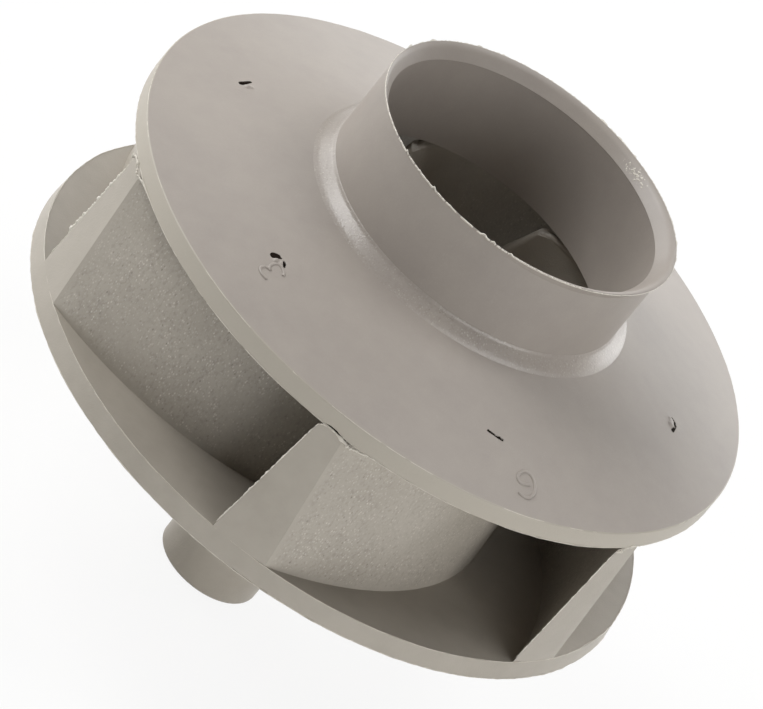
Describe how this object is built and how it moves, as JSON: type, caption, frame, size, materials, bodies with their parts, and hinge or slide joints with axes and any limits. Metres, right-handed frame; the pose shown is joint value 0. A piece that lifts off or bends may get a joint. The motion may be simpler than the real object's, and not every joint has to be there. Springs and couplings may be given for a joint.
{
  "type": "closed pump impeller",
  "caption": "Closed pump impeller: backward-curved vanes between a back disc and a welded cover, with a raised suction eye and a threaded hub.",
  "frame": {"origin": "centre of the hub's flat end, which the part stands on", "axes": "+Z along the shaft axis from the hub's end to the suction eye; one vane's tip points at -Y"},
  "size_m": [0.1192, 0.1191, 0.0992],
  "materials": {
    "vane_body": "moulded glass-filled plastic, warm grey",
    "cover_disc": "moulded glass-filled plastic, warm grey",
    "insert": "turned brass"
  },
  "bodies": {
    "root": {"vane_body": "vane_body", "cover_disc": "cover_disc", "threaded_insert": "insert"}
  },
  "joints": []
}
